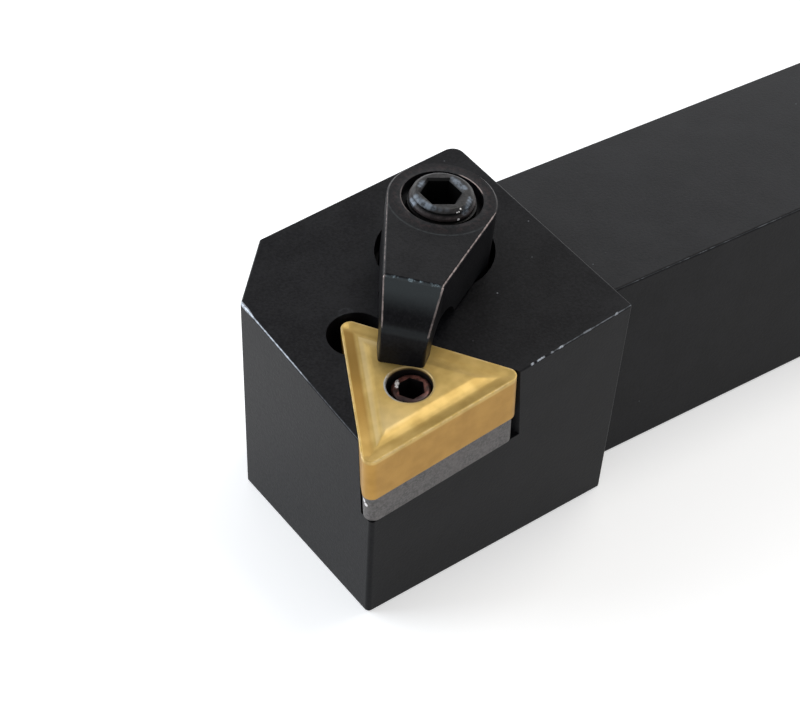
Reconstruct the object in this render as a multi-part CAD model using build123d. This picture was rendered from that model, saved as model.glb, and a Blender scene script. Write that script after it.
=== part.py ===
from build123d import *
import math
import os

# Turning tool holder with a clamped triangular insert. Millimetres, +Z up, +X along the shank.
# x = 0 is the head's back face, y = 0 the shank's middle, z = 0 the seat of the shank.

# shank
SHANK = 19.05            # square section, 3/4 inch
OVERALL = 114.3          # from the cutting nose to the shank's end, 4 1/2 inch
SHANK_EDGE = 0.25        # rounding along the shank
END_CHAMFER = 1.0

# head
HEAD_RISE = 3.94         # head's top above the shank's top, where x = 0 and y = 0
RAKE = 6.0               # the head's top falls by this angle towards -X and towards -Y
HEAD_FAR = 10.45         # far side from the shank's middle
HEAD_FRONT = 26.54       # front face from the back face, at the shank's top and y = 0
FRONT_LEAN = 0.034       # front face runs back towards the bottom
FRONT_TURN = 0.035
HEAD_SIDE = 14.05        # cutting side from the shank's middle, at the shank's top and x = 0
SIDE_LEAN = 0.07         # cutting side runs back towards the bottom
SIDE_TURN = 0.045        # and stands further out towards the front
CORNER_CUT = 5.59        # 45 degree cut of the far front corner
HEAD_EDGE = 0.2
FRONT_EDGE = 0.4         # upright edge between the front and the cutting side
BACK_ROUND = 1.2         # upright edge between the far side and the back face

# insert: 9.525 mm inscribed circle, 3/16 inch thick, 0.8 mm nose
INSERT_IC = 9.525
INSERT_T = 4.7625
NOSE_R = 0.8
INSERT_HOLE_R = 1.905
INSERT_BACK = 6.2        # insert's centre behind the front face
INSERT_IN = 3.4          # and inside the cutting side
INSERT_TURN = 211.7      # direction of the cutting nose in the pocket
INSERT_PROUD = 0.09      # insert's top above the head's top
LAND = 0.22              # flat edge before the chip groove
GROOVE = 1.35            # width of the chip groove
GROOVE_DEPTH = 0.22
GROOVE_FALL = 45.0       # slope from the land into the groove
GROOVE_RISE = 60.0       # steeper slope up to the plateau
PLATEAU_CORNER = 0.5
HOLE_CHAMFER = 0.15

# seat under the insert
SHIM_T = 2.9
SHIM_INSET = 0.12
SHIM_CHAMFER = 0.05
PIN_R = 2.3              # lock pin's body
PIN_RUN = 0.05           # running clearance of turned pieces in their holes
SHIM_HOLE_R = PIN_R + 0.2

# pocket
WALL_GAP = 0.03
CORNER_HOLE_R = 2.5
CORNER_HOLE_SPARE = 0.02 # how far the hole reaches past the corner where the walls meet
CORNER_HOLE_DEEP = 0.4   # below the floor
FLOOR = INSERT_PROUD - INSERT_T - SHIM_T

# lock pin: turned body with an eccentric head that draws the insert home
PIN_HEAD_R = 1.68
PIN_ECC = 0.2
PIN_TURN = 10.0          # direction in which the eccentric head stands
PIN_TOP = -1.0           # below the insert's top
PIN_BOTTOM = -15.5
PIN_HEX = 1.98           # 5/64 inch across flats
PIN_HEX_DEEP = 2.4
PIN_SHOULDER = 0.15      # body's shoulder below the seat's top
PIN_CHAMFER = 0.3
PIN_HEAD_CHAMFER = 0.25

# clamp: its screw leans towards the cutting side only. Lengths s run from the screw's axis to the
# nose, heights h from the point where that axis meets the head's top.
CLAMP_BACK = 10.79       # screw's axis from the insert's centre along the shank
CLAMP_IN = 11.25         # and across it
CLAMP_LEAN = 7.0
CLAMP_TURN = 223.0
CLAMP_R = 4.7
CLAMP_TOP = 5.8
BEND_S, BEND_HALF = 10.82, 2.55
BEND_SHIFT = -0.35       # the finger stands a little off the middle
NOSE_ARC = 4.5           # radius of the nose's rounded front
NOSE_ARC_TURN = 32.0
NOSE_S, NOSE_H = 13.8, 0.6
NOSE_HALF = 1.95
NOSE_SHIFT = -0.15
FINGER_CORNER = 0.35
HOOK_S = 12.2            # back of the hook that bears on the insert
HOOK_H = 0.3
CONTACT = 0.01
UNDERSIDE = 0.4          # finger's underside
ARCH_S, ARCH_H = 7.4, 2.1
CLAMP_EDGE = 0.2
BORE_GAP = 0.47          # clamp's heel in the head's counterbore
BORE_DEPTH = 2.6
HEEL_CLEAR = 0.02

# clamp screw: 6 mm, with threads of opposite hand in clamp and head
SCREW_R = 2.95
SCREW_OUT = 0.77         # screw's top above the clamp's
SCREW_LENGTH = 20.0
SCREW_HEX = 3.0
SCREW_HEX_DEEP = 3.0
SCREW_CHAMFER = 0.6
HEX_TURN = 48.0
MOUTH_R = 3.48           # wider mouth of the clamp's hole
MOUTH_DEEP = 1.1
TAP_SPARE = 1.5          # drilled deeper than the screw reaches

# stock that the pieces are cut from, and cuts that run past them
STOCK = 4 * SHANK
BAR_IN = 12.0            # shank's bar inside the head
ABOVE = 8.0              # cuts above the head's top
PAST = 1.0               # cuts past a face

T = math.tan(math.radians(RAKE))
INSERT_X = INSERT_BACK - HEAD_FRONT
INSERT_Y = INSERT_IN - HEAD_SIDE
NOSE_X = INSERT_X + INSERT_IC * math.cos(math.radians(INSERT_TURN))
CLAMP_X = INSERT_X + CLAMP_BACK
CLAMP_Y = INSERT_Y + CLAMP_IN
LEAN = math.radians(CLAMP_LEAN)
SCREW_TOP = CLAMP_TOP + SCREW_OUT
BACK_CORNER = math.radians(INSERT_TURN + 240)


def head_top(x, y):
    """Height of the head's top above the seat."""
    return SHANK + HEAD_RISE + T * (x + y)


# where the insert, its seat and the lock pin stand, and where the clamp and its screw do
POCKET = Location(Plane(
    (INSERT_X, INSERT_Y, head_top(INSERT_X, INSERT_Y)), x_dir=(1, 0, T), z_dir=(-T, -T, 1)))
CLAMP_AXIS = Location(Plane(
    (CLAMP_X, CLAMP_Y, head_top(CLAMP_X, CLAMP_Y)), x_dir=(1, 0, 0),
    z_dir=(0, -math.sin(LEAN), math.cos(LEAN)))) * Rot(0, 0, CLAMP_TURN)


def disc(r, low, high, at=(0, 0)):
    """Upright cylinder between two heights."""
    return Pos(at[0], at[1], low) * extrude(Circle(r), high - low)


def hexagon(flats, low, high, turn=0.0):
    """Upright hexagonal prism, for a socket."""
    outline = RegularPolygon(flats / 2, 6, major_radius=False)
    return Pos(0, 0, low) * Rot(0, 0, turn) * extrude(outline, high - low)


def triangle(inset, nose):
    """Flat triangle of the insert's size, its first corner towards the cutting nose."""
    reach = INSERT_IC - 2 * inset - 2 * nose
    corners = [Pos(*(reach * math.cos(a), reach * math.sin(a))) * Circle(nose)
               for a in (math.radians(INSERT_TURN + 120 * k) for k in range(3))]
    return make_hull([e for c in corners for e in c.edges()])


def pocket_outline(gap):
    """Two walls that meet behind the insert's back corner; it is open past the cutting edge."""
    far = INSERT_IC + 2 * gap
    corner = Vector(far, 0).rotate(Axis.Z, INSERT_TURN + 240)
    wall = 2 * far
    ends = [corner + Vector(wall, 0).rotate(Axis.Z, INSERT_TURN + side) for side in (30, 90)]
    return make_face(Polyline(corner, *ends, close=True))


def below(solid, point, normal):
    """Keep the part of a solid behind a plane."""
    return split(solid, bisect_by=Plane(point, z_dir=normal), keep=Keep.BOTTOM)


def make_head():
    """Block with leaning front and cutting side, falling top and a cut far corner."""
    head = Pos(-STOCK / 2, 0, STOCK / 2) * Box(STOCK, STOCK, STOCK)
    head = below(head, (0, HEAD_FAR, 0), (0, 1, 0))
    head = below(head, (0, 0, SHANK + HEAD_RISE), (-T, -T, 1))
    head = below(head, (0, -HEAD_SIDE, SHANK), (SIDE_TURN, -1, -SIDE_LEAN))
    head = below(head, (-HEAD_FRONT, 0, SHANK), (-1, FRONT_TURN, -FRONT_LEAN))
    corner = (-HEAD_FRONT + CORNER_CUT, HEAD_FAR, SHANK)
    head = below(head, corner, (-1, 1, 0))
    across = head.edges().sort_by(Axis((0, 0, 0), (1, 1, 0)))
    head = fillet(across[-1], BACK_ROUND)
    front = head.edges().sort_by(Axis((0, 0, 0), (1, 1, 0)))[0]
    head = fillet(front, FRONT_EDGE)
    return fillet(head.edges(), HEAD_EDGE)


def make_shank():
    """Square bar that runs into the head."""
    end = OVERALL + NOSE_X
    bar = Pos((end - BAR_IN) / 2, 0, SHANK / 2) * Box(end + BAR_IN, SHANK, SHANK)
    bar = chamfer(bar.faces().sort_by(Axis.X)[-1].edges(), END_CHAMFER)
    return fillet(bar.edges().filter_by(Axis.X), SHANK_EDGE)


def make_pocket():
    """Insert pocket with its corner hole."""
    pocket = Pos(0, 0, FLOOR) * extrude(pocket_outline(WALL_GAP), ABOVE - FLOOR)
    out = INSERT_IC + 2 * WALL_GAP + CORNER_HOLE_SPARE - CORNER_HOLE_R
    at = (out * math.cos(BACK_CORNER), out * math.sin(BACK_CORNER))
    return pocket + disc(CORNER_HOLE_R, FLOOR - CORNER_HOLE_DEEP, ABOVE, at)


def make_holder_body():
    """Head and shank in one piece, with pocket, pin hole and the clamp's counterbore."""
    body = make_head() + make_shank()
    cuts = make_pocket() + disc(PIN_R + PIN_RUN, -2 * SHANK, FLOOR + PAST)
    clamp_bore = disc(CLAMP_R + BORE_GAP, -BORE_DEPTH, ABOVE)
    tap = SCREW_TOP - SCREW_LENGTH - TAP_SPARE
    clamp_bore += disc(SCREW_R + PIN_RUN, tap, ABOVE)
    return body - POCKET * cuts - CLAMP_AXIS * clamp_bore


def make_insert():
    """Triangular insert with a land and a chip groove on both faces, and its hole."""
    body = Pos(0, 0, -INSERT_T / 2) * extrude(triangle(0, NOSE_R), INSERT_T)
    ring = extrude(triangle(LAND, NOSE_R - LAND), -GROOVE_DEPTH, taper=GROOVE_FALL)
    plateau = extrude(triangle(LAND + GROOVE, PLATEAU_CORNER), -GROOVE_DEPTH, taper=-GROOVE_RISE)
    groove = Pos(0, 0, INSERT_T / 2) * (ring - plateau)
    body = body - groove - mirror(groove, Plane.XY) - disc(INSERT_HOLE_R, -INSERT_T, INSERT_T)
    rims = body.edges().filter_by(GeomType.CIRCLE).filter_by(lambda e: abs(e.radius - INSERT_HOLE_R) < 1e-3)
    body = chamfer(rims, HOLE_CHAMFER)
    return POCKET * Pos(0, 0, INSERT_PROUD - INSERT_T / 2) * body


def make_shim_seat():
    """Ground triangular seat under the insert, slightly smaller, with a hole for the pin."""
    body = extrude(triangle(SHIM_INSET, NOSE_R), SHIM_T)
    body = chamfer(body.faces().sort_by(Axis.Z)[0].edges(), SHIM_CHAMFER)
    body -= disc(SHIM_HOLE_R, -PAST, SHIM_T + PAST)
    return POCKET * Pos(0, 0, FLOOR) * body


def make_lock_pin():
    """Cam pin: body in the head, eccentric head in the insert's hole, hex socket on top."""
    shoulder = FLOOR + SHIM_T - PIN_SHOULDER
    turn = math.radians(PIN_TURN)
    ecc = (PIN_ECC * math.cos(turn), PIN_ECC * math.sin(turn))
    body = chamfer(disc(PIN_R, PIN_BOTTOM, shoulder).edges().filter_by(GeomType.CIRCLE), PIN_CHAMFER)
    head = disc(PIN_HEAD_R, shoulder - PAST, PIN_TOP, ecc)
    head = chamfer(head.faces().sort_by(Axis.Z)[-1].edges(), PIN_HEAD_CHAMFER)
    socket = Pos(*ecc) * hexagon(PIN_HEX, PIN_TOP - PIN_HEX_DEEP, PIN_TOP + PAST)
    return POCKET * (body + head - socket)


def clamp_profile():
    """Side view of the clamp above the head: flat top, bend, rounded nose, hook and arch."""
    low = -CLAMP_R / 2
    heel_end = -CLAMP_R - PAST
    arch_end = (ARCH_S, UNDERSIDE)
    hook_back = (HOOK_S, HOOK_H)
    line = Polyline(hook_back, (HOOK_S, low), (NOSE_S, low), (NOSE_S, NOSE_H))
    nose = JernArc((NOSE_S, NOSE_H), (0, 1), NOSE_ARC, NOSE_ARC_TURN)
    rest = Polyline(nose @ 1, (BEND_S, CLAMP_TOP), (heel_end, CLAMP_TOP), (heel_end, UNDERSIDE), arch_end)
    arch = ThreePointArc(arch_end, ((ARCH_S + HOOK_S) / 2, ARCH_H), hook_back)
    return make_face(line.edges() + nose.edges() + rest.edges() + arch.edges())


def finger_end(at, shift, half):
    """Two small circles that round the finger's corners at a distance from the screw."""
    return [Pos(at - FINGER_CORNER, shift + side * (half - FINGER_CORNER)) * Circle(FINGER_CORNER)
            for side in (-1, 1)]


def clamp_plan():
    """Seen from above: round end, sides that taper to the bend, and the nose."""
    bend = finger_end(BEND_S, BEND_SHIFT, BEND_HALF)
    nose = finger_end(NOSE_S, NOSE_SHIFT, NOSE_HALF)
    wide = make_hull([e for c in [Circle(CLAMP_R)] + bend for e in c.edges()])
    return wide + make_hull([e for c in bend + nose for e in c.edges()])


def make_clamp():
    """Teardrop finger clamp with a round heel and a hooked nose that bears on the insert."""
    side = extrude(Plane.XZ * clamp_profile(), 2 * CLAMP_R, both=True)
    body = Pos(0, 0, -CLAMP_R) * extrude(clamp_plan(), CLAMP_TOP + 2 * CLAMP_R) & side
    body += disc(CLAMP_R, -BORE_DEPTH + HEEL_CLEAR, CLAMP_TOP)
    body = chamfer(body.faces().sort_by(Axis.Z)[-1].edges(), CLAMP_EDGE)
    body -= disc(SCREW_R + PIN_RUN, -BORE_DEPTH - PAST, CLAMP_TOP + PAST)
    body -= disc(MOUTH_R, CLAMP_TOP - MOUTH_DEEP, CLAMP_TOP + PAST)
    insert_top = Pos(0, 0, INSERT_PROUD + CONTACT) * extrude(triangle(0, NOSE_R), -INSERT_T)
    return CLAMP_AXIS * body - POCKET * insert_top


def make_clamp_screw():
    """Headless screw with a hex socket and chamfered ends."""
    body = disc(SCREW_R, SCREW_TOP - SCREW_LENGTH, SCREW_TOP)
    body = chamfer(body.edges().filter_by(GeomType.CIRCLE), SCREW_CHAMFER)
    body -= hexagon(SCREW_HEX, SCREW_TOP - SCREW_HEX_DEEP, SCREW_TOP + PAST, HEX_TURN)
    return CLAMP_AXIS * body


NODES = {
    "holder_body": make_holder_body,
    "shim_seat": make_shim_seat,
    "insert": make_insert,
    "lock_pin": make_lock_pin,
    "clamp": make_clamp,
    "clamp_screw": make_clamp_screw,
}

os.makedirs("parts", exist_ok=True)
for name, make in NODES.items():
    export_step(make(), "parts/" + name + ".step")
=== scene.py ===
import bpy
import math
from functools import reduce
import numpy as np
from mathutils import Matrix, Vector


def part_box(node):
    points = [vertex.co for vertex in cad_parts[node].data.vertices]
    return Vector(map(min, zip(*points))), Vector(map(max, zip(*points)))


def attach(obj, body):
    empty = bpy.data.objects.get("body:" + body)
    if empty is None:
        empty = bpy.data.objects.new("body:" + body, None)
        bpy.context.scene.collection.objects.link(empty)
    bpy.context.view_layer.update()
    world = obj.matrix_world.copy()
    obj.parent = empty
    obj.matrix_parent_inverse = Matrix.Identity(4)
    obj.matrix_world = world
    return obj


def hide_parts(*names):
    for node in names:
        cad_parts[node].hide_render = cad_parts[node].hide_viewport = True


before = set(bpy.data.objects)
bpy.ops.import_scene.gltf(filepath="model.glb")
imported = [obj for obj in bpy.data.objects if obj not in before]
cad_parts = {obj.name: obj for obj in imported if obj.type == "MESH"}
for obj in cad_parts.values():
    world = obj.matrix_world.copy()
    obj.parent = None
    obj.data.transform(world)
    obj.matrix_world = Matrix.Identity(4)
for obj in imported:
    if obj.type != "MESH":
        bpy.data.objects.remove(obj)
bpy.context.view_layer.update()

# ---- Studio ----
# A floor of pale card under the tool. Soft light comes from all round, strongest low behind the
# tool. One cool window stands behind the tool's left and one small warm lamp hangs overhead.
scene = bpy.context.scene
scene.view_settings.view_transform = "Standard"

# the camera: its lens and the shift of its view in pixels, where it stands, and its three directions
IMAGE_WIDTH = 800
FOCAL_PIXELS = 2068.86
SHIFT_PIXELS = (-3.9, 0.3)
eye = Vector((-0.098434, -0.112509, 0.124948))
right = Vector((0.808936, -0.587251, 0.027565))
down = Vector((-0.348849, -0.517221, -0.781528))
ahead = Vector((0.473210, 0.622590, -0.623260))
camera_data = bpy.data.cameras.new("camera")
camera_data.sensor_width = 36
camera_data.lens = FOCAL_PIXELS / IMAGE_WIDTH * camera_data.sensor_width
camera_data.shift_x = SHIFT_PIXELS[0] / IMAGE_WIDTH
camera_data.shift_y = SHIFT_PIXELS[1] / IMAGE_WIDTH
camera_data.clip_start = 0.005
camera = bpy.data.objects.new("camera", camera_data)
camera.matrix_world = Matrix.Translation(eye) @ Matrix((right, -down, -ahead)).transposed().to_4x4()
scene.collection.objects.link(camera)
scene.camera = camera


class Wire:
    """A node socket that takes part in sums: each operator adds the node that works it out."""

    def __init__(self, tree, socket=None):
        self.tree, self.socket = tree, socket

    def node(self, kind, settings, sockets, out=0):
        """Add a node of a type: its settings first, then the values or links of its sockets."""
        made = self.tree.nodes.new("ShaderNode" + kind)
        for key, value in settings.items():
            setattr(made, key, value)
        for key, value in sockets.items():
            if isinstance(value, Wire):
                self.tree.links.new(value.socket, made.inputs[key])
            else:
                made.inputs[key].default_value = value
        return Wire(self.tree, made.outputs[out])

    def math(self, operation, *values):
        """One step of arithmetic on wires or numbers."""
        return self.node("Math", {"operation": operation}, dict(enumerate(values)))

    def __add__(self, other):
        return self.math("ADD", self, other)

    def __sub__(self, other):
        return self.math("SUBTRACT", self, other)

    def __rsub__(self, other):
        return self.math("SUBTRACT", other, self)

    def __mul__(self, other):
        return self.math("MULTIPLY", self, other)

    __radd__ = __add__
    __rmul__ = __mul__

    def least(self, other):
        """The smaller of this and another, at each place."""
        return self.math("MINIMUM", self, other)

    def most(self, other):
        """The larger of this and another, at each place."""
        return self.math("MAXIMUM", self, other)

    def fade(self, start, end):
        """0 at start, 1 at end, with a smooth step between; start may be above end."""
        low, high, ends = (start, end, (0, 1)) if start < end else (end, start, (1, 0))
        limits = {"Value": self, "From Min": low, "From Max": high, "To Min": ends[0], "To Max": ends[1]}
        return self.node("MapRange", {"interpolation_type": "SMOOTHSTEP"}, limits)

    def along(self, direction):
        """Length of this vector along a direction."""
        return self.node("VectorMath", {"operation": "DOT_PRODUCT"}, {0: self, 1: tuple(direction)}, "Value")

    def noise(self, size, detail=2.0, roughness=0.5):
        """Cloudy noise from 0 to 1 with clouds of a size."""
        look = {"Vector": self, "Scale": 1 / size, "Detail": detail, "Roughness": roughness}
        return self.node("TexNoise", {}, look, "Fac")

    def blend(self, under, over):
        """Colour that goes from one to another as this mask goes from 0 to 1."""
        return self.node("Mix", {"data_type": "RGBA"}, {0: self, 6: under, 7: over}, 2)


def strongest(masks):
    """Greatest of some masks at each place."""
    return reduce(Wire.most, masks)


def rgba(red, green, blue):
    """A colour that hides what is behind it."""
    return (red, green, blue, 1.0)


# the light of the room: dim overhead, brighter near the horizon, and brightest low behind the tool
world = bpy.data.worlds.new("studio")
scene.world = world
world.use_nodes = True
background = world.node_tree.nodes["Background"]
heading = Wire(world.node_tree).node("TexCoord", {}, {}, "Generated")
upward = heading.along((0, 0, 1))
behind = heading.along((0.6, 0.8, 0.0)).fade(0.25, 0.75) * upward.fade(0.78, 0.45)
room_light = upward.fade(0.9, 0.1) * 0.25 + behind * 1.25 + 0.36
world.node_tree.links.new(room_light.socket, background.inputs["Strength"])
background.inputs["Color"].default_value = rgba(0.97, 0.98, 1.0)


def lamp(name, direction, distance, width, depth, power, colour):
    """Area lamp at a distance in a direction from the tool, turned to face it."""
    data = bpy.data.lights.new(name, "AREA")
    data.shape = "RECTANGLE"
    data.size, data.size_y = width, depth
    data.energy = power
    data.color = colour
    direction = Vector(direction).normalized()
    turned = direction.to_track_quat("Z", "Y").to_matrix().to_4x4()
    made = bpy.data.objects.new(name, data)
    made.matrix_world = Matrix.Translation(direction * distance) @ turned
    scene.collection.objects.link(made)


lamp("window", (-0.60, 0.62, 0.50), 0.55, 0.45, 0.30, 1.95, (0.86, 0.93, 1.0))
lamp("ceiling", (0.42, 0.02, 0.90), 0.60, 0.30, 0.30, 1.15, (1.0, 0.97, 0.92))

# the card: seen, or mirrored in the metal, it is white, and it keeps the tool's shadow
FLOOR_HALF = 3
floor_corners = [(-FLOOR_HALF, -FLOOR_HALF, 0), (FLOOR_HALF, -FLOOR_HALF, 0),
                 (FLOOR_HALF, FLOOR_HALF, 0), (-FLOOR_HALF, FLOOR_HALF, 0)]
floor_mesh = bpy.data.meshes.new("floor")
floor_mesh.from_pydata(floor_corners, [], [(0, 1, 2, 3)])
floor = bpy.data.objects.new("floor", floor_mesh)
scene.collection.objects.link(floor)

card = bpy.data.materials.new("pale_card")
card.use_nodes = True
card_nodes = card.node_tree.nodes
card_nodes.remove(card_nodes["Principled BSDF"])
seen = strongest([Wire(card.node_tree).node("LightPath", {}, {}, ray)
                  for ray in ("Is Camera Ray", "Is Glossy Ray", "Is Transmission Ray")])
glow = seen.node("Emission", {}, {"Strength": seen * 0.45})
paper = seen.node("BsdfDiffuse", {}, {"Color": rgba(0.8, 0.8, 0.8)})
surface = seen.node("AddShader", {}, {0: glow, 1: paper})
card.node_tree.links.new(surface.socket, card_nodes["Material Output"].inputs["Surface"])
floor_mesh.materials.append(card)

# ---- Holder: shank and head ----
# One bar of alloy steel, milled to a square shank and a block head, hardened and blacked in hot
# oxide. Along some of its edges the black is rubbed or chipped off and shows bare steel.
SHANK, HEAD_RISE, RAKE = 19.05, 3.94, math.tan(math.radians(6.0))
HEAD_FAR, HEAD_FRONT, HEAD_SIDE, CORNER_CUT = 10.45, 26.54, 14.05, 5.59
SHANK_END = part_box("holder_body")[1][0] * 1000

# the way that the head's top, cutting side, front and cut corner look
TOP_FACING, SIDE_FACING = (-RAKE, -RAKE, 1), (0.045, -1, -0.07)
FRONT_FACING, CUT_FACING = (-1, 0.035, -0.034), (-1, 1, 0)

DEEP_BLACK, GREY_BLACK = rgba(0.002, 0.002, 0.003), rgba(0.0105, 0.0105, 0.012)
BARE_STEEL, SMUDGE_GREY = rgba(0.60, 0.64, 0.70), rgba(0.038, 0.041, 0.045)

# chips on the cutting side's top edge: start and end of each along the head, and how bare it is
EDGE_CHIPS = ((-11.0, -10.75, 0.8), (-10.35, -9.6, 0.9), (-8.9, -8.6, 0.5), (-8.2, -7.6, 1.0),
              (-5.4, -4.5, 0.4), (-1.95, -1.6, 0.7))
# dry smudges on the head's top: centre, radius and share
SMUDGES = (((-20.0, -1.2, 20.8), 0.7, 0.35), ((-21.4, -3.0, 20.5), 0.5, 0.25))
# added to the distance from an edge where a worn line has to stop
OUT_OF_REACH = 9.0


def new_finish(name):
    """New material: its shader, and its object coordinates in millimetres."""
    made = bpy.data.materials.new(name)
    made.use_nodes = True
    place = Wire(made.node_tree).node("TexCoord", {}, {}, "Object")
    place = place.node("VectorMath", {"operation": "SCALE"}, {0: place, "Scale": 1000.0})
    return made, made.node_tree.nodes["Principled BSDF"], place


def feed(shader, **wires):
    """Link wires to a shader's sockets, with _ for the space in a socket's name."""
    for key, wire in wires.items():
        wire.tree.links.new(wire.socket, shader.inputs[key.replace("_", " ")])


def roughen(shader, relief, depth):
    """Let a relief from 0 to 1 that is some millimetres deep bend the shader's normal."""
    feed(shader, Normal=relief.node("Bump", {}, {"Distance": depth / 1000, "Height": relief}))


def depth_below(place, point, normal):
    """Depth of a place below the plane through a point: the point less the place, along the normal."""
    normal = Vector(normal).normalized()
    return normal.dot(Vector(point)) - place.along(normal)


def edge_distance(depths):
    """Second smallest of the depths below some faces: small only where two of the faces meet."""
    nearest, second = depths[0].least(depths[1]), depths[0].most(depths[1])
    for depth in depths[2:]:
        second = second.least(nearest.most(depth))
        nearest = nearest.least(depth)
    return second


def worn_line(edge, width, start=-0.02, end=0.04):
    """1 where an edge is nearer than a width, 0 farther off: a smooth step of width less distance."""
    return (width - edge).fade(start, end)


def spot(place, centre, radius, rim=0.15):
    """1 within a radius of a point, 0 outside it, with a soft rim: a share of the radius each way."""
    offset = place.node("VectorMath", {"operation": "DISTANCE"}, {0: place, 1: centre}, "Value")
    return offset.fade(radius * (1 + rim), radius * (1 - rim))


def dress(name, material):
    """Give a carried-over solid its material."""
    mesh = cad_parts[name].data
    mesh.materials.clear()
    mesh.materials.append(material)


def black_oxide(name, wear_and_light, seed):
    """Blacked steel: cloudy satin black with fine grain, and whatever worn steel and painted light lie over
    it.

    The second argument takes the place and returns the share of bare steel there, from 0 to 1, the
    steel's colour, and further layers below it, each a share and a colour. The seed moves the clouds.
    """
    made, shader, place = new_finish(name)
    moved = place.node("VectorMath", {"operation": "ADD"}, {0: place, 1: (seed, -seed, seed)})
    clouds = moved.noise(4.5, 3.0, 0.55)
    grain = moved.noise(0.26, 3.0, 0.7)
    tone = (clouds * 0.45 + grain * 0.55).fade(0.34, 0.66).blend(DEEP_BLACK, GREY_BLACK)
    bare, steel, layers = wear_and_light(place)
    for share, colour in layers:
        tone = share.blend(tone, colour)
    # here and there a tiny chip: the middles of scattered cells, where a slow cloud lets them through
    cells = moved.node("TexVoronoi", {}, {"Vector": moved, "Scale": 1 / 2.6}, "Distance")
    bare = bare.most(cells.fade(0.036, 0.02) * moved.noise(6.0).fade(0.52, 0.62) * 0.3)
    feed(shader, Base_Color=bare.blend(tone, steel), Metallic=bare * 0.85,
         Roughness=0.43 + (grain - 0.5) * 0.3 + (clouds - 0.5) * 0.1 - bare * 0.12)
    shader.inputs["Specular IOR Level"].default_value = 0.12
    roughen(shader, grain * 0.7 + clouds * 0.3, 0.02)
    return made


def holder_wear(place):
    """Bare steel on the holder, each line a width less the distance from its edge.

    A thin line along the front top edge, wider and brighter at its far end; short chips and a faint
    line along the cutting side's top edge; next to nothing on the head's other edges; marks on the
    shank's edges; and dry smudges on the head's top.
    """
    x, y, z = (place.along(axis) for axis in ((1, 0, 0), (0, 1, 0), (0, 0, 1)))
    top = depth_below(place, (0, 0, SHANK + HEAD_RISE), TOP_FACING)
    side = depth_below(place, (0, -HEAD_SIDE, SHANK), SIDE_FACING)
    front = depth_below(place, (-HEAD_FRONT, 0, SHANK), FRONT_FACING)
    cut = depth_below(place, (-HEAD_FRONT + CORNER_CUT, HEAD_FAR, SHANK), CUT_FACING)
    far, back = HEAD_FAR - y, 0.0 - x

    rough = place.noise(0.5, 3.0, 0.7)
    chips = rough.fade(0.35, 0.6)

    width = y.fade(2.6, 4.3) * 0.12 + y.fade(-6.5, -3.5) * 0.03 + 0.055 + rough * 0.05
    strength = y.fade(-6.5, -3.0) * 0.42 + y.fade(2.0, 3.6) * 0.12 + 0.16
    bare = worn_line(edge_distance([top, front]), width) * strength * (0.6 + 0.4 * chips)

    side_top = edge_distance([top, side])
    for start, end, share in EDGE_CHIPS:
        chip = x.fade(start - 0.1, start + 0.1) * x.fade(end + 0.1, end - 0.1) * share
        chip = chip * rough.fade(0.32, 0.5) * worn_line(side_top, 0.03 + rough * 0.2, -0.01, 0.05)
        bare = bare.most(chip)
    bare = bare.most(worn_line(side_top, 0.12, 0.0, 0.06) * (0.1 + chips * 0.25) * x.fade(-9.5, -7.5))

    on_shank = x.fade(0.0, 0.2)
    other_edges = edge_distance([top, cut, far, back]).least(edge_distance([front, side]))
    other_edges = other_edges + on_shank * OUT_OF_REACH
    bare = bare.most(worn_line(other_edges, 0.07) * (0.04 + chips * 0.1))

    on_head = x.fade(0.3, 0.0)
    shank_edges = edge_distance([SHANK - z, SHANK / 2 + y, SHANK / 2 - y, SHANK_END - x])
    shank_edges = shank_edges + on_head * OUT_OF_REACH
    marks = place.noise(1.8, 2.0).fade(0.5, 0.62)
    bare = bare.most(worn_line(shank_edges, 0.10, -0.02, 0.05) * (0.1 + marks * chips * 0.35))

    smudges = strongest([spot(place, centre, radius) * share for centre, radius, share in SMUDGES])
    return bare, BARE_STEEL, [(smudges * chips, SMUDGE_GREY)]


dress("holder_body", black_oxide("holder_black", holder_wear, 0.0))

# ---- Seat ----
# A loose triangle of cemented carbide under the insert, ground on its faces and left grey.
# It sits in the pocket and lets the pin pass through its hole.
STAIN_DARK, STAIN_LIGHT = rgba(0.066, 0.064, 0.061), rgba(0.112, 0.101, 0.098)
GROUND_GREY, SEAT_GLINT_WHITE = rgba(0.17, 0.16, 0.158), rgba(0.85, 0.83, 0.82)
# painted highlight: where a glint brightens the corner, each a centre and a radius
SEAT_GLINTS = (((-27.06, -13.95, 13.2), 0.2), ((-27.08, -14.2, 12.85), 0.22))

ground_carbide, shader, place = new_finish("ground_carbide")
grind = place.noise(0.22, 3.0, 0.65)
stain = place.noise(1.6).fade(0.3, 0.7).blend(STAIN_DARK, STAIN_LIGHT)
tone = grind.fade(0.3, 0.75).blend(stain, GROUND_GREY)
# a painted highlight: white glints on the seat's corner
painted_corner_glint = strongest([spot(place, centre, radius) for centre, radius in SEAT_GLINTS])
feed(shader, Base_Color=painted_corner_glint.blend(tone, SEAT_GLINT_WHITE), Roughness=0.45 + grind * 0.2)
shader.inputs["Metallic"].default_value = 0.3
roughen(shader, grind, 0.008)
dress("shim_seat", ground_carbide)

# ---- Insert ----
# A sintered carbide triangle with a hole, pressed with a chip groove along every edge of both
# faces, and coated in gold titanium nitride. The clamp and the pin hold it against the pocket.
INSERT_CENTRE = (-20.34, -10.65, SHANK + HEAD_RISE + RAKE * (-20.34 - 10.65))
INSERT_DEGREES, INSERT_PROUD, INSERT_THICK = 211.7, 0.09, 4.7625
INRADIUS, NOSE_R, HOLE_R = 4.7625, 0.8, 1.905
HONE, LAND, PLATEAU, EDGE_DROP, LIP = 0.05, 0.10, 2.2, 0.04, 0.16
LEAST_CORNER = 0.13

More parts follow.
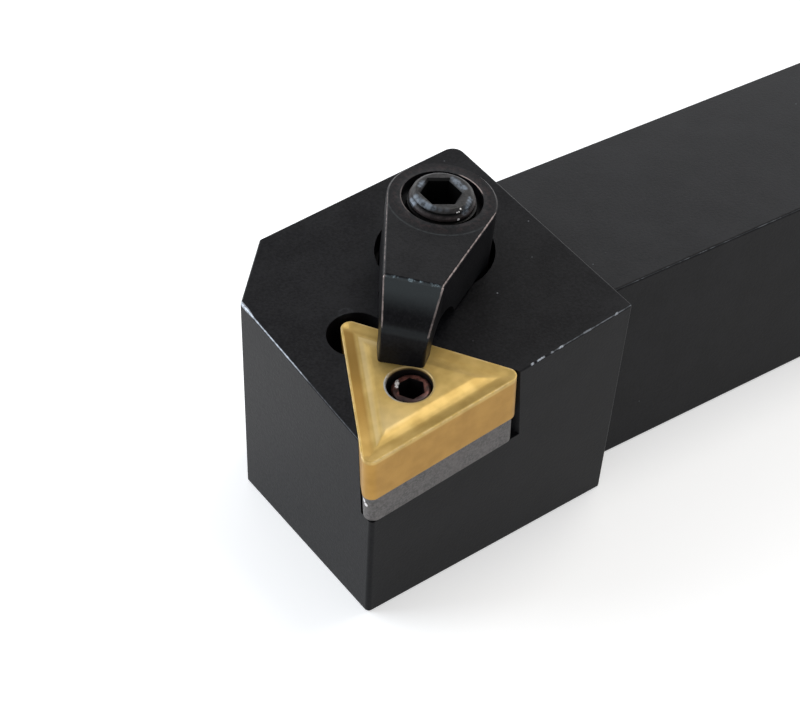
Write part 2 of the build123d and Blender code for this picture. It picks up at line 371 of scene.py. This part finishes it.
# how steeply the groove falls at some insets from the edge: it falls evenly, turns in a round
# bottom and climbs a bulging wall to the plateau, which stands above the edge
GROOVE_INSETS = (LAND, 0.18, 0.5, 0.78, 0.97, 1.12, 1.38, 1.56, 1.74, 1.98, PLATEAU)
GROOVE_SLOPES = (0.0, 0.22, 0.20, 0.14, 0.05, 0.0, -0.03, -0.10, -0.21, -0.2, 0.0)
GROOVE_BOTTOM = 1.12

GOLD_DARK, GOLD_LIGHT = rgba(0.50, 0.33, 0.092), rgba(0.66, 0.455, 0.148)
SHADED_FLANK_DARK, SHADED_FLANK_LIGHT = rgba(0.41, 0.218, 0.037), rgba(0.49, 0.268, 0.052)
GROOVE_SHADE_BROWN, HIGHLIGHT_GOLD = rgba(0.30, 0.162, 0.024), rgba(0.95, 0.78, 0.44)
HONED_EDGE_HIGHLIGHT, MOUTH_BLUE_GREY = rgba(0.95, 0.80, 0.58), rgba(0.38, 0.43, 0.48)
HOLE_SHADE_BLACK = rgba(0.010, 0.009, 0.009)


def upright_frame(up, ahead):
    """Rows of a frame: the direction ahead made square to up, the one across, and up."""
    up = np.array(up, float) / np.linalg.norm(up)
    across = np.cross(up, ahead)
    across /= np.linalg.norm(across)
    return np.stack([np.cross(across, up), across, up])


pocket_axes = upright_frame(TOP_FACING, (1, 0, RAKE))


def unit(angle):
    """Points on a circle of radius 1: the cosine and the sine of each angle."""
    return np.stack([np.cos(angle), np.sin(angle)], axis=-1)


def ring_quads(rows, columns, joined):
    """Corners of the quads between neighbouring rings, and from the last to the first if joined."""
    row = np.arange(rows if joined else rows - 1)[:, None]
    column = np.arange(columns)[None, :]
    next_row, next_column = (row + 1) % rows, (column + 1) % columns
    corners = [row * columns + column, row * columns + next_column,
               next_row * columns + next_column, next_row * columns + column]
    return np.stack([c.ravel() for c in corners], axis=1).tolist()


def add_piece(name, rings, faces, origin, axes, material, sharp):
    """New object from rings of points in millimetres in a frame: the origin plus points times axes.

    It is smooth but for edges that turn by more than the sharp angle.
    """
    points = np.array(origin) + rings.reshape(-1, 3) @ axes
    mesh = bpy.data.meshes.new(name)
    mesh.from_pydata((points / 1000).tolist(), [], faces)
    mesh.polygons.foreach_set("use_smooth", np.ones(len(mesh.polygons), bool))
    mesh.set_sharp_from_angle(angle=math.radians(sharp))
    mesh.materials.append(material)
    piece = bpy.data.objects.new(name, mesh)
    scene.collection.objects.link(piece)
    return piece


def rounded_triangles(inradius, corner):
    """Outlines with three rounded corners: an arc about each corner's centre, then a straight run.

    The arcs' centres lie at twice (inradius - corner) from the middle. Every outline has as many
    points, so that points with the same number lie in line.
    """
    arc = np.linspace(-math.pi / 3, math.pi / 3, 25)
    run = np.linspace(0, 1, 34)[1:-1, None]
    points = []
    for turn in np.radians(INSERT_DEGREES + 120 * np.arange(3)):
        centre = 2 * (inradius - corner) * unit(turn)
        following = 2 * (inradius - corner) * unit(turn + 2 * math.pi / 3)
        points.append(centre + corner * unit(turn + arc))
        points.append(centre + corner * unit(turn + math.pi / 3) + (following - centre) * run)
    return np.concatenate(points, axis=1)


# Rows of the profile, each an inset from the outline, a share of the hole's circle, that circle's
# radius and a depth: from the middle of the flank up over the honed edge, the land, the groove and
# the plateau, over the hole's round lip and down into the hole. The lower face mirrors the upper.
# The groove's depth is the sum of its slopes, levelled from its bottom on to end at the plateau.
quarter = np.linspace(0, math.pi / 2, 6)
groove_steps = np.linspace(LAND, PLATEAU, 56)
slopes = np.interp(groove_steps, GROOVE_INSETS, GROOVE_SLOPES)
falls = (slopes[1:] + slopes[:-1]) / 2 * np.diff(groove_steps)
depths = EDGE_DROP + np.concatenate([[0.0], np.cumsum(falls)])
depths -= np.clip((groove_steps - GROOVE_BOTTOM) / (PLATEAU - GROOVE_BOTTOM), 0, 1) * depths[-1]
insert_rows = [(0.0, 0.0, HOLE_R, depth) for depth in np.linspace(INSERT_THICK / 2, 0.4, 5)]
insert_rows += [(HONE * (1 - math.cos(a)), 0.0, HOLE_R, EDGE_DROP + HONE * (1 - math.sin(a)))
                for a in quarter]
insert_rows += [(inset, 0.0, HOLE_R, depth) for inset, depth in zip(groove_steps, depths)]
insert_rows += [(PLATEAU, share, HOLE_R + LIP, 0.0) for share in (0.25, 0.5, 0.75, 1.0)]
insert_rows += [(PLATEAU, 1.0, HOLE_R + LIP * (1 - math.sin(a)), LIP * (1 - math.cos(a)))
                for a in quarter[1:]]
insert_rows += [(PLATEAU, 1.0, HOLE_R, depth) for depth in np.linspace(0.5, INSERT_THICK / 2, 5)]
insert_rows = np.array(insert_rows)
mirrored = insert_rows * (1, 1, 1, -1) + (0, 0, 0, INSERT_THICK)
insert_rows = np.concatenate([insert_rows, mirrored[::-1][1:-1]])

insets, shares, radii, drops = insert_rows.T[:, :, None, None]
outlines = rounded_triangles(INRADIUS - insets, np.maximum(NOSE_R - insets, LEAST_CORNER))
circles = radii * outlines / np.linalg.norm(outlines, axis=2, keepdims=True)
flat = outlines * (1 - shares) + circles * shares
heights = np.broadcast_to(INSERT_PROUD - drops, flat.shape[:2] + (1,))
insert_rings = np.concatenate([flat, heights], axis=2)


def local_place(place, origin, axes):
    """Coordinates of a place in a frame, in millimetres: along each axis, less the origin's."""
    return [place.along(axis) - float(np.dot(origin, axis)) for axis in axes]


def from_axis(first, second):
    """Distance from an axis: the root of the sum of two coordinates squared."""
    squares = first * first + second * second
    return squares.math("SQRT", squares)


def towards(first, second, degrees):
    """Distance along a direction: its cosine times one coordinate plus its sine times the other."""
    angle = math.radians(degrees)
    return first * math.cos(angle) + second * math.sin(angle)


gold_nitride, shader, place = new_finish("gold_nitride")
u, v, above = local_place(place, INSERT_CENTRE, pocket_axes)
pores = place.noise(0.14, 3.0, 0.65)
cloud = place.noise(1.7).fade(0.3, 0.7)
# painted shade: the flank's gold is a darker copy of the face's gold
face_gold, shaded_flank_gold = cloud.blend(GOLD_DARK, GOLD_LIGHT), cloud.blend(SHADED_FLANK_DARK, SHADED_FLANK_LIGHT)
gold = above.fade(-0.2, -0.45).blend(face_gold, shaded_flank_gold)

# insets from the right, the back and the left edge
from_right, from_back, from_left = (INRADIUS - towards(u, v, INSERT_DEGREES + turn)
                                    for turn in (60, 180, 300))
inset = from_right.least(from_back).least(from_left)
by_left = (from_left - from_right).fade(0.15, -0.15)
off_back = from_back.fade(0.6, 1.4)

# painted shade darkens the groove along the two working edges, more so on the left
hollow = inset.fade(0.14, 0.24) * inset.fade(1.2, 0.85) * above.fade(-0.45, -0.3) * off_back
hollow = hollow * (by_left * (0.2 + v.fade(-3.5, 1.0) * 0.4) + 0.3)
gold = hollow.blend(gold, GROOVE_SHADE_BROWN)
# painted highlights lighten the wall beside the left groove and the flat behind the working corner
painted_ridge_highlight = inset.fade(1.25, 1.40) * inset.fade(1.95, 1.45) * by_left * off_back * above.fade(-0.45, -0.3)
painted_corner_highlight = towards(u, v, INSERT_DEGREES).fade(1.5, 5.0) * inset.fade(1.7, 2.2) * above.fade(-0.1, 0.0)
gold = (painted_ridge_highlight * 0.3).most(painted_corner_highlight * 0.3).blend(gold, HIGHLIGHT_GOLD)
# a painted highlight lies in dashes along the honed edge
pale = inset.fade(0.16, 0.08) * above.fade(-0.12, -0.02) * place.noise(0.9, 3.0, 0.7).fade(0.40, 0.58)
gold = (pale * 0.2).blend(gold, HONED_EDGE_HIGHLIGHT)
# a bluish grey ring lies round the hole's mouth, stronger on one side, and the inside of the hole is painted
# near black: its darker coat and painted shade
from_hole = from_axis(u, v)
mouth = from_hole.fade(2.14, 2.06) * above.fade(-0.35, -0.15)
bluish_side = towards(u, v, 162.5).fade(0.9, 1.9)
gold = (mouth * (0.12 + bluish_side * 0.7)).blend(gold, MOUTH_BLUE_GREY)
shaded_inside = from_hole.fade(1.99, 1.95) * above.fade(0.0, -0.25)
feed(shader, Base_Color=shaded_inside.blend(gold, HOLE_SHADE_BLACK), Roughness=0.40 + (pores - 0.5) * 0.2,
     Metallic=0.6 - shaded_inside * 0.5)
roughen(shader, pores, 0.012)

insert_faces = ring_quads(*insert_rings.shape[:2], True)
insert = add_piece("gold_insert", insert_rings, insert_faces, INSERT_CENTRE, pocket_axes, gold_nitride, 50)
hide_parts("insert")
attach(insert, "holder")

# ---- Lock pin ----
# A turned steel pin, browned by heat, that screws into the head under the insert. Its eccentric
# head fills the insert's hole and draws it into the pocket when the hex socket is turned.
PIN_R, PIN_HEAD_R, PIN_ROUND, PIN_CHAMFER = 2.3, 1.68, 0.35, 0.25
PIN_TOP, PIN_SHOULDER, PIN_NECK, PIN_BOTTOM = -0.55, -4.82, -7.9, -15.5
PIN_PITCH, PIN_THREAD, PIN_FLATS = 0.8, 0.24, 1.98
PIN_THROW = 0.2 * unit(math.radians(10.0))

BROWN_DARK, BROWN_LIGHT = rgba(0.030, 0.013, 0.010), rgba(0.24, 0.092, 0.075)
PIN_SOCKET_SHADE, GLINT_WHITE = rgba(0.010, 0.008, 0.009), rgba(0.95, 0.90, 0.88)
PIN_GLINTS = (((-20.55, -9.2, 19.3), 0.15), ((-20.72, -9.46, 19.25), 0.2), ((-20.95, -9.72, 19.2), 0.15))


def plain_rows(hexed, sizes):
    """Rows of a turned piece without a thread, from radii and heights."""
    return [(hexed, radius, height, 0, 0) for radius, height in sizes]


def thread_rows(radius, top, bottom, pitch, depth, hand):
    """Rows of a thread from top to bottom, its groove growing deep over one pitch at each end."""
    heights = np.arange(top, bottom, -pitch / 10)
    fade = np.clip(np.minimum(top - heights, heights - bottom) / pitch, 0, 1)
    return [(0, radius, height, depth * f, hand * height / pitch) for height, f in zip(heights, fade)]


def socket_shell(rows, flats, turn, shift):
    """Rings of a turned piece with a hex socket, and its faces with both ends closed.

    Each row gives the share of the hexagon, the radius as such or as a share of the hexagon's, and
    the height. The hexagon's radius is half its flats over the cosine of the angle from the
    nearest flat's middle. A row's last two numbers are a groove's depth and its winding: the groove
    lies where the winding and the way round add up to whole turns, and ends a quarter turn off on
    both sides. The socket stands off the axis by a shift.
    """
    hexed, radius, height, depth, winding = np.array(rows).T[:, :, None]
    around = np.linspace(0, 2 * math.pi, 96, endpoint=False)
    hexagon = flats / 2 / np.cos(np.mod(around, math.pi / 3) - math.pi / 6)
    phase = np.mod(winding + around / (2 * math.pi), 1.0) - 0.5
    groove = depth * np.clip(1.2 - 2.6 * np.abs(2 * np.abs(phase) - 1.0), 0.0, 1.0)
    length = hexagon * radius * hexed + (radius - groove) * (1 - hexed)
    flat = length[:, :, None] * unit(around + turn) + np.array(shift) * hexed[:, :, None]
    rings = np.concatenate([flat, np.broadcast_to(height[:, :, None], length.shape + (1,))], axis=2)
    count = len(around)
    faces = [quad[::-1] for quad in ring_quads(len(rings), count, False)]
    last = (len(rings) - 1) * count
    faces += [list(range(count)), list(range(last, last + count))[::-1]]
    return rings, faces


# down the profile: up out of the socket, over the rounded head, to the shoulder and the thread
pin_head = plain_rows(1, [(0.25, PIN_TOP - 2.6), (1.0, PIN_TOP - 2.4), (1.0, PIN_TOP - 0.1),
                          (1.06, PIN_TOP)])
pin_head += plain_rows(0, [(PIN_HEAD_R - PIN_ROUND * (1 - math.sin(a)),
                            PIN_TOP - PIN_ROUND * (1 - math.cos(a))) for a in quarter])
pin_head += plain_rows(0, [(PIN_HEAD_R, PIN_SHOULDER)])
pin_body = plain_rows(0, [(PIN_R - PIN_CHAMFER, PIN_SHOULDER), (PIN_R, PIN_SHOULDER - PIN_CHAMFER),
                          (PIN_R, PIN_NECK)])
pin_body += thread_rows(PIN_R, PIN_NECK - 0.1, PIN_BOTTOM + 0.4, PIN_PITCH, PIN_THREAD, 1)
pin_body += plain_rows(0, [(PIN_R - PIN_THREAD, PIN_BOTTOM)])
pin_rings, pin_faces = socket_shell(pin_head + pin_body, PIN_FLATS, 0.0, (0.0, 0.0))
pin_rings[:len(pin_head), :, :2] += PIN_THROW

browned_steel, shader, place = new_finish("browned_steel")
heat = place.noise(0.8, 3.0, 0.6)
scuff = place.noise(0.35, 3.0, 0.6)
brown = heat.fade(0.35, 0.65).blend(BROWN_DARK, BROWN_LIGHT)
u, v, above = local_place(place, INSERT_CENTRE, pocket_axes)
u, v = u - float(PIN_THROW[0]), v - float(PIN_THROW[1])
# painted shade: the socket and one side of the pin's top are darkened
socket = from_axis(u, v).fade(1.25, 1.15) * above.fade(PIN_TOP - 0.01, PIN_TOP - 0.05)
shadowed = towards(u, v, 234.4).fade(0.3, 1.0)
tone = socket.most(shadowed * 0.85).blend(brown, PIN_SOCKET_SHADE)
# a painted glint: a white streak on the rim
glint = strongest([spot(place, centre, radius) for centre, radius in PIN_GLINTS]) * scuff.fade(0.3, 0.5)
feed(shader, Base_Color=glint.blend(tone, GLINT_WHITE), Roughness=0.34 - glint * 0.1,
     Metallic=0.5 - glint * 0.4)
roughen(shader, scuff, 0.02)

pin = add_piece("cam_pin", pin_rings, pin_faces, INSERT_CENTRE, pocket_axes, browned_steel, 38)
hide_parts("lock_pin")
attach(pin, "pin")

# ---- Clamp ----
# A teardrop finger of blacked steel. Its round heel stands in the head's counterbore, and the
# hooked nose bears on the insert. Its edges have rubbed bare with years of insert changes.
CLAMP_FOOT = (-9.55, 0.60, SHANK + HEAD_RISE + RAKE * (-9.55 + 0.60))
CLAMP_LEAN, CLAMP_TURN = math.radians(7.0), math.radians(223.0)
CLAMP_R, CLAMP_TOP, MOUTH_R = 4.7, 5.8, 3.6

# each plane of the finger: the turn in degrees of the way it looks, and how far out it lies
SLOPE_TURN, SLOPE_OUT = 39.2, 12.05
NEAR_TURN, NEAR_NOSE_TURN, NEAR_NOSE_OUT = 75.88, 82.36, 3.58
AWAY_TURN, AWAY_NOSE_TURN, AWAY_NOSE_OUT = -79.86, -75.0, 5.53

BLUISH_STEEL, PINKISH_STEEL = rgba(0.42, 0.55, 0.62), rgba(0.60, 0.49, 0.46)
SIDE_SHADE_BLACK, HEAT_TINT = rgba(0.004, 0.004, 0.0045), rgba(0.045, 0.026, 0.026)
SHEEN_AND_RING_GREY = rgba(0.046, 0.053, 0.056)

level_axes = upright_frame((0, -math.sin(CLAMP_LEAN), math.cos(CLAMP_LEAN)), (1, 0, 0))
clamp_axes = np.concatenate([unit(np.array([CLAMP_TURN, CLAMP_TURN + math.pi / 2])) @ level_axes[:2],
                             level_axes[2:]])


def clamp_wear_and_light(place):
    """Bare steel and painted light on the clamp: bare lines along its top edges and bend, a painted
    highlight on the mouth's rim, and layers of painted shade, heat tint, painted sheen and a ring.

    s runs from the screw's axis along the finger, t across it to the near side, and rise up the
    axis. The heel is a circle's radius less the distance from the axis. The finger's near side is
    hollow where its two planes meet, and its far side is full.
    """
    s, t, rise = local_place(place, CLAMP_FOOT, clamp_axes)
    top = CLAMP_TOP - rise
    slope = SLOPE_OUT - towards(s, rise, SLOPE_TURN)
    heel = CLAMP_R - from_axis(s.least(0.0), t)
    near = (CLAMP_R - towards(s, t, NEAR_TURN)).most(NEAR_NOSE_OUT - towards(s, t, NEAR_NOSE_TURN))
    away = (CLAMP_R - towards(s, t, AWAY_TURN)).least(AWAY_NOSE_OUT - towards(s, t, AWAY_NOSE_TURN))
    upper = top.least(slope)
    rough = place.noise(0.45, 3.0, 0.7)
    chips = rough.fade(0.35, 0.6)

    near_line = worn_line(upper.most(near), 0.11 + rough * 0.07) * (0.5 + chips * 0.4)
    near_line = near_line * (0.35 + rise.fade(5.0, 5.6) * 0.55)
    away_line = worn_line(upper.most(away), 0.09 + rough * 0.05) * (0.25 + chips * 0.4)
    heel_line = worn_line(top.most(heel), 0.08 + rough * 0.05) * (0.16 + chips * 0.3)
    bend_line = worn_line(top.most(slope), 0.05 + rough * 0.14, -0.02, 0.05)
    bend_line = bend_line * (0.05 + rough.fade(0.5, 0.68) * 0.55)
    # a painted highlight, laid as bare steel, brightens the mouth's rim on two sides
    from_screw = from_axis(s, t)
    on_top = top.fade(0.05, 0.01)
    rim = from_screw.fade(MOUTH_R, MOUTH_R - 0.07) * on_top
    painted_rim_highlight = (towards(s, t, -70.1).fade(2.9, 3.4) * 0.16).most(towards(s, t, 141.5).fade(3.1, 3.35) * 0.6)
    bare = strongest([near_line, away_line, heel_line, bend_line, rim * painted_rim_highlight])
    # along the bend the steel looks bluish, on the long edges pinkish
    bluish = top.most(slope).fade(0.5, 0.3) * near.least(away).fade(0.15, 0.3)
    steel = bluish.blend(PINKISH_STEEL, BLUISH_STEEL)

    # painted shade darkens the sides, and heat has tinted the steel round the screw's mouth
    shaded_sides = (away.fade(0.08, 0.02) * 0.6).most(heel.fade(0.06, 0.02) * 0.3)
    deep = top.fade(0.3, 0.6) * slope.fade(0.3, 0.6) * shaded_sides
    tint = from_screw.fade(4.7, 3.9) * on_top * rough.fade(0.4, 0.7) * 0.5
    # a painted sheen lightens the slope below the bend and a painted highlight crosses the nose, and a ring
    # is cut round the mouth
    painted_slope_sheen = slope.fade(0.12, 0.02) * rise.fade(3.5, 5.2)
    painted_nose_highlight = rise.fade(1.9, 2.25) * rise.fade(2.9, 2.55) * s.fade(12.6, 12.9)
    ring = from_screw.fade(4.62, 4.70) * from_screw.fade(4.85, 4.77) + from_screw.fade(4.1, MOUTH_R) * 0.5
    sheen_and_ring = painted_slope_sheen * 0.85 + painted_nose_highlight * 0.35 + ring * on_top * (0.2 + chips * 0.3)
    return bare, steel, [(deep, SIDE_SHADE_BLACK), (tint, HEAT_TINT), (sheen_and_ring, SHEEN_AND_RING_GREY)]


dress("clamp", black_oxide("clamp_black", clamp_wear_and_light, 31.0))

# ---- Clamp screw ----
# A headless screw of blacked steel with a hex socket, and threads of opposite hand at its two
# ends, so that one turn draws the clamp down by two pitches. Its socket end carries painted highlights.
SCREW_R, SCREW_TOP, SCREW_BOTTOM, SCREW_PITCH, SCREW_THREAD = 2.95, 6.57, -13.43, 1.0, 0.32
CROWN_R, CROWN_NECK, SCREW_FLATS = 2.63, 2.51, 3.08
SOCKET_TURN, SOCKET_SHIFT = math.radians(48.0), (0.07, -0.16)
# between the two threads the screw is plain, from one height down to the other
WAIST_TOP, WAIST_BOTTOM = -2.4, -3.6

CROWN_DARK, CROWN_LIGHT = rgba(0.018, 0.018, 0.018), rgba(0.036, 0.034, 0.034)
THREAD_DARK, THREAD_LIGHT = rgba(0.020, 0.016, 0.016), rgba(0.050, 0.040, 0.040)
SCREW_SHADE_BLACK, SOCKET_SHADE_BLACK = rgba(0.005, 0.005, 0.005), rgba(0.0035, 0.0035, 0.0035)
HIGHLIGHT_STEEL, GLINT_AND_FLECK_WHITE = rgba(0.20, 0.235, 0.28), rgba(0.95, 0.93, 0.92)

# painted highlights, bright patches on the socket's rim, the crown and the first thread: turn about
# the axis in degrees, distance from it, height, radius and strength
SOCKET_RIM_PATCHES = (
    (166, 1.92, 6.55, 0.20, 0.6), (157, 1.84, 6.52, 0.24, 0.8), (147, 1.76, 6.50, 0.25, 0.8),
    (136, 1.74, 6.50, 0.25, 0.7), (126, 1.80, 6.52, 0.24, 0.9), (118, 1.90, 6.55, 0.20, 0.8),
    (-108, 1.93, 6.57, 0.20, 0.6), (-100, 1.96, 6.57, 0.22, 0.9), (-91, 2.00, 6.57, 0.20, 0.7))
CROWN_PATCHES = (
    (-57, 2.48, 6.42, 0.26, 0.6), (-46, 2.42, 6.46, 0.27, 0.7), (-37, 2.38, 6.48, 0.27, 0.8),
    (-28, 2.37, 6.48, 0.28, 1.0), (-19, 2.38, 6.48, 0.27, 0.9), (-9, 2.38, 6.46, 0.22, 0.5),
    (4, 2.35, 6.46, 0.20, 0.25), (18, 2.35, 6.46, 0.20, 0.15), (68, 2.44, 6.42, 0.20, 0.7),
    (76, 2.40, 6.45, 0.22, 1.0), (85, 2.36, 6.48, 0.20, 0.9))
THREAD_PATCHES = (
    (-62, 2.78, 5.95, 0.28, 0.7), (-54, 2.78, 5.95, 0.30, 0.8), (60, 2.60, 6.25, 0.30, 0.9),
    (54, 2.68, 6.12, 0.26, 0.7))
# painted white glints, and one white fleck in the gap at the clamp's rim, listed in the same way
GLINTS_AND_FLECK = ((46, 2.45, 6.42, 0.09, 1.0), (41, 2.58, 6.30, 0.07, 1.0), (37, 2.64, 6.28, 0.09, 1.0),
          (39, 2.83, 5.68, 0.12, 1.0))

# down the profile: up out of the socket, over the crown, across a neck to the first thread's start,
# then the two threads with the waist between them
screw_rows = plain_rows(1, [(0.2, SCREW_TOP - 3.3), (1.0, SCREW_TOP - 3.0), (1.0, SCREW_TOP - 0.22),
                            (1.12, SCREW_TOP)])
screw_rows += plain_rows(0, [(radius, SCREW_TOP - depth) for radius, depth in (
    (2.16, 0.0), (2.27, 0.0), (2.36, 0.03), (CROWN_R - 0.03, 0.22), (CROWN_R, 0.27), (CROWN_R - 0.02, 0.36),
    (CROWN_NECK, 0.44), (CROWN_NECK, 0.52), (2.78, 0.68), (2.83, 0.76), (2.83, 0.98), (2.62, 1.14))])
screw_rows += thread_rows(SCREW_R, SCREW_TOP - 1.2, WAIST_TOP + 0.2, SCREW_PITCH, SCREW_THREAD, 1)
screw_rows += plain_rows(0, [(SCREW_R - SCREW_THREAD, WAIST_TOP), (SCREW_R - SCREW_THREAD, WAIST_BOTTOM)])
screw_rows += thread_rows(SCREW_R, WAIST_BOTTOM - 0.2, SCREW_BOTTOM + 0.5, SCREW_PITCH, SCREW_THREAD, -1)
screw_rows += plain_rows(0, [(SCREW_R - SCREW_THREAD, SCREW_BOTTOM)])
screw_rings, screw_faces = socket_shell(screw_rows, SCREW_FLATS, SOCKET_TURN, SOCKET_SHIFT)


def patches(place, table, rim):
    """Spots on the screw with a soft rim, the strongest where they overlap.

    Each centre lies at its distance from the screw's axis times the unit of its turn, and its height.
    """
    spots = []
    for turn, distance, height, radius, strength in table:
        centre = np.append(distance * unit(math.radians(turn)), height) @ clamp_axes + CLAMP_FOOT
        spots.append(spot(place, tuple(centre.tolist()), radius, rim) * strength)
    return strongest(spots)


highlight_painted_steel, shader, place = new_finish("highlight_painted_steel")
s, t, rise = local_place(place, CLAMP_FOOT, clamp_axes)
scuff = place.noise(0.45, 3.0, 0.65)
cloud = scuff.fade(0.35, 0.65)
# dark satin on the crown and brownish on the first thread; painted shade blackens the groove above that
# thread and all below it
crown, first_thread = cloud.blend(CROWN_DARK, CROWN_LIGHT), cloud.blend(THREAD_DARK, THREAD_LIGHT)
tone = rise.fade(SCREW_TOP - 0.5, SCREW_TOP - 0.6).blend(crown, first_thread)
shaded_neck = rise.fade(SCREW_TOP - 0.34, SCREW_TOP - 0.42) * rise.fade(SCREW_TOP - 0.64, SCREW_TOP - 0.54)
tone = shaded_neck.most(rise.fade(SCREW_TOP - 0.98, SCREW_TOP - 1.1)).blend(tone, SCREW_SHADE_BLACK)
# painted highlights: bright patches on the socket's rim, the crown and the first thread
painted_highlight = patches(place, SOCKET_RIM_PATCHES + CROWN_PATCHES + THREAD_PATCHES, 0.6)
tone = (painted_highlight * scuff.fade(0.25, 0.6)).blend(tone, HIGHLIGHT_STEEL)
# painted glints, and the white fleck
tone = patches(place, GLINTS_AND_FLECK, 0.15).blend(tone, GLINT_AND_FLECK_WHITE)
# painted shade: the socket is dark, and so is the back of its mouth
in_socket = from_axis(s - SOCKET_SHIFT[0], t - SOCKET_SHIFT[1]).fade(2.06, 2.0)
shaded_mouth_back = towards(s, t, 16.8).fade(-0.9, -1.2) * t.fade(0.5, 0.2)
shaded_mouth_back = shaded_mouth_back * rise.fade(SCREW_TOP - 0.01, SCREW_TOP - 0.05)
socket = in_socket * shaded_mouth_back.most(rise.fade(SCREW_TOP - 0.10, SCREW_TOP - 0.24))
feed(shader, Base_Color=socket.blend(tone, SOCKET_SHADE_BLACK), Metallic=painted_highlight * 0.3,
     Roughness=0.36 + (scuff - 0.5) * 0.2)
shader.inputs["Specular IOR Level"].default_value = 0.2
roughen(shader, scuff, 0.03)

screw = add_piece("twin_thread_screw", screw_rings, screw_faces, CLAMP_FOOT, clamp_axes, highlight_painted_steel, 38)
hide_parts("clamp_screw")
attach(screw, "screw")
